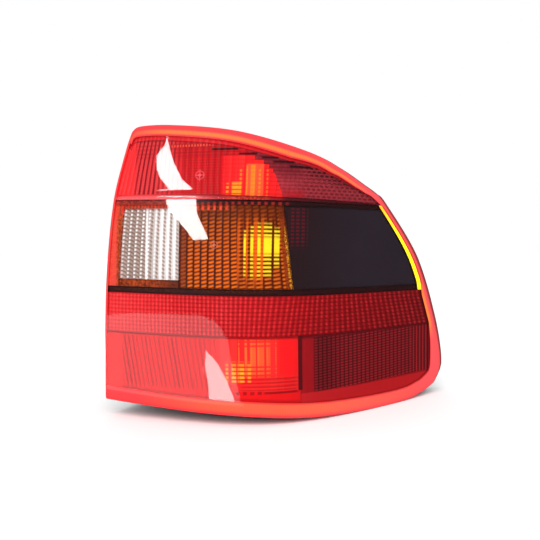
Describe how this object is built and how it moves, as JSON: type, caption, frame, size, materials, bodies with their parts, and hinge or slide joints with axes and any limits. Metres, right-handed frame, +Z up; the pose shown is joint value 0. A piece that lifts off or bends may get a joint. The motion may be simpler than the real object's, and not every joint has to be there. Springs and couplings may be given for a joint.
{
  "type": "tail light cluster",
  "caption": "Wrap-round rear lamp cluster for a hatchback's right corner: multi-colour fluted lens, body shell, metallised bowls, bulbs and clip-on bulb holder.",
  "frame": {"origin": "middle of the four mounting studs, on the body's flat mounting face", "axes": "+Y points from the lens through the mounting face into the car, +Z is up, +X points to the side of the car that the wing of the lens wraps round"},
  "size_m": [0.2966, 0.2607, 0.2826],
  "materials": {
    "red_lens": "polished red acrylic",
    "amber_lens": "polished amber acrylic",
    "clear_lens": "polished clear acrylic",
    "smoke_lens": "polished smoke-tinted acrylic",
    "amber_edge": "polished bright amber acrylic",
    "body": "dark grey moulded plastic",
    "foam": "closed-cell foam",
    "holder": "pale moulded plastic",
    "bowl": "metallised plastic",
    "bulb_glass": "clear bulb glass",
    "cap_metal": "nickel-washed brass",
    "brass": "plain brass strip",
    "stud_metal": "zinc-plated steel"
  },
  "bodies": {
    "root": {"lens_red": "red_lens", "lens_amber": "amber_lens", "lens_clear": "clear_lens", "lens_smoke": "smoke_lens", "lens_amber_edge": "amber_edge", "housing": "body", "body_gasket": "foam", "bulb_carrier": "holder", "carrier_seal": "foam", "contact_earth": "brass", "reflector_tail": "bowl", "reflector_indicator": "bowl", "reflector_reverse": "bowl", "reflector_fog": "bowl", "bulb_glass_tail": "bulb_glass", "bulb_glass_indicator": "bulb_glass", "bulb_glass_reverse": "bulb_glass", "bulb_glass_fog": "bulb_glass", "bulb_cap_tail": "cap_metal", "bulb_cap_indicator": "cap_metal", "bulb_cap_reverse": "cap_metal", "bulb_cap_fog": "cap_metal", "contact_tail": "brass", "contact_indicator": "brass", "contact_reverse": "brass", "contact_fog": "brass", "stud_1": "stud_metal", "stud_2": "stud_metal", "stud_3": "stud_metal", "stud_4": "stud_metal"}
  },
  "joints": []
}
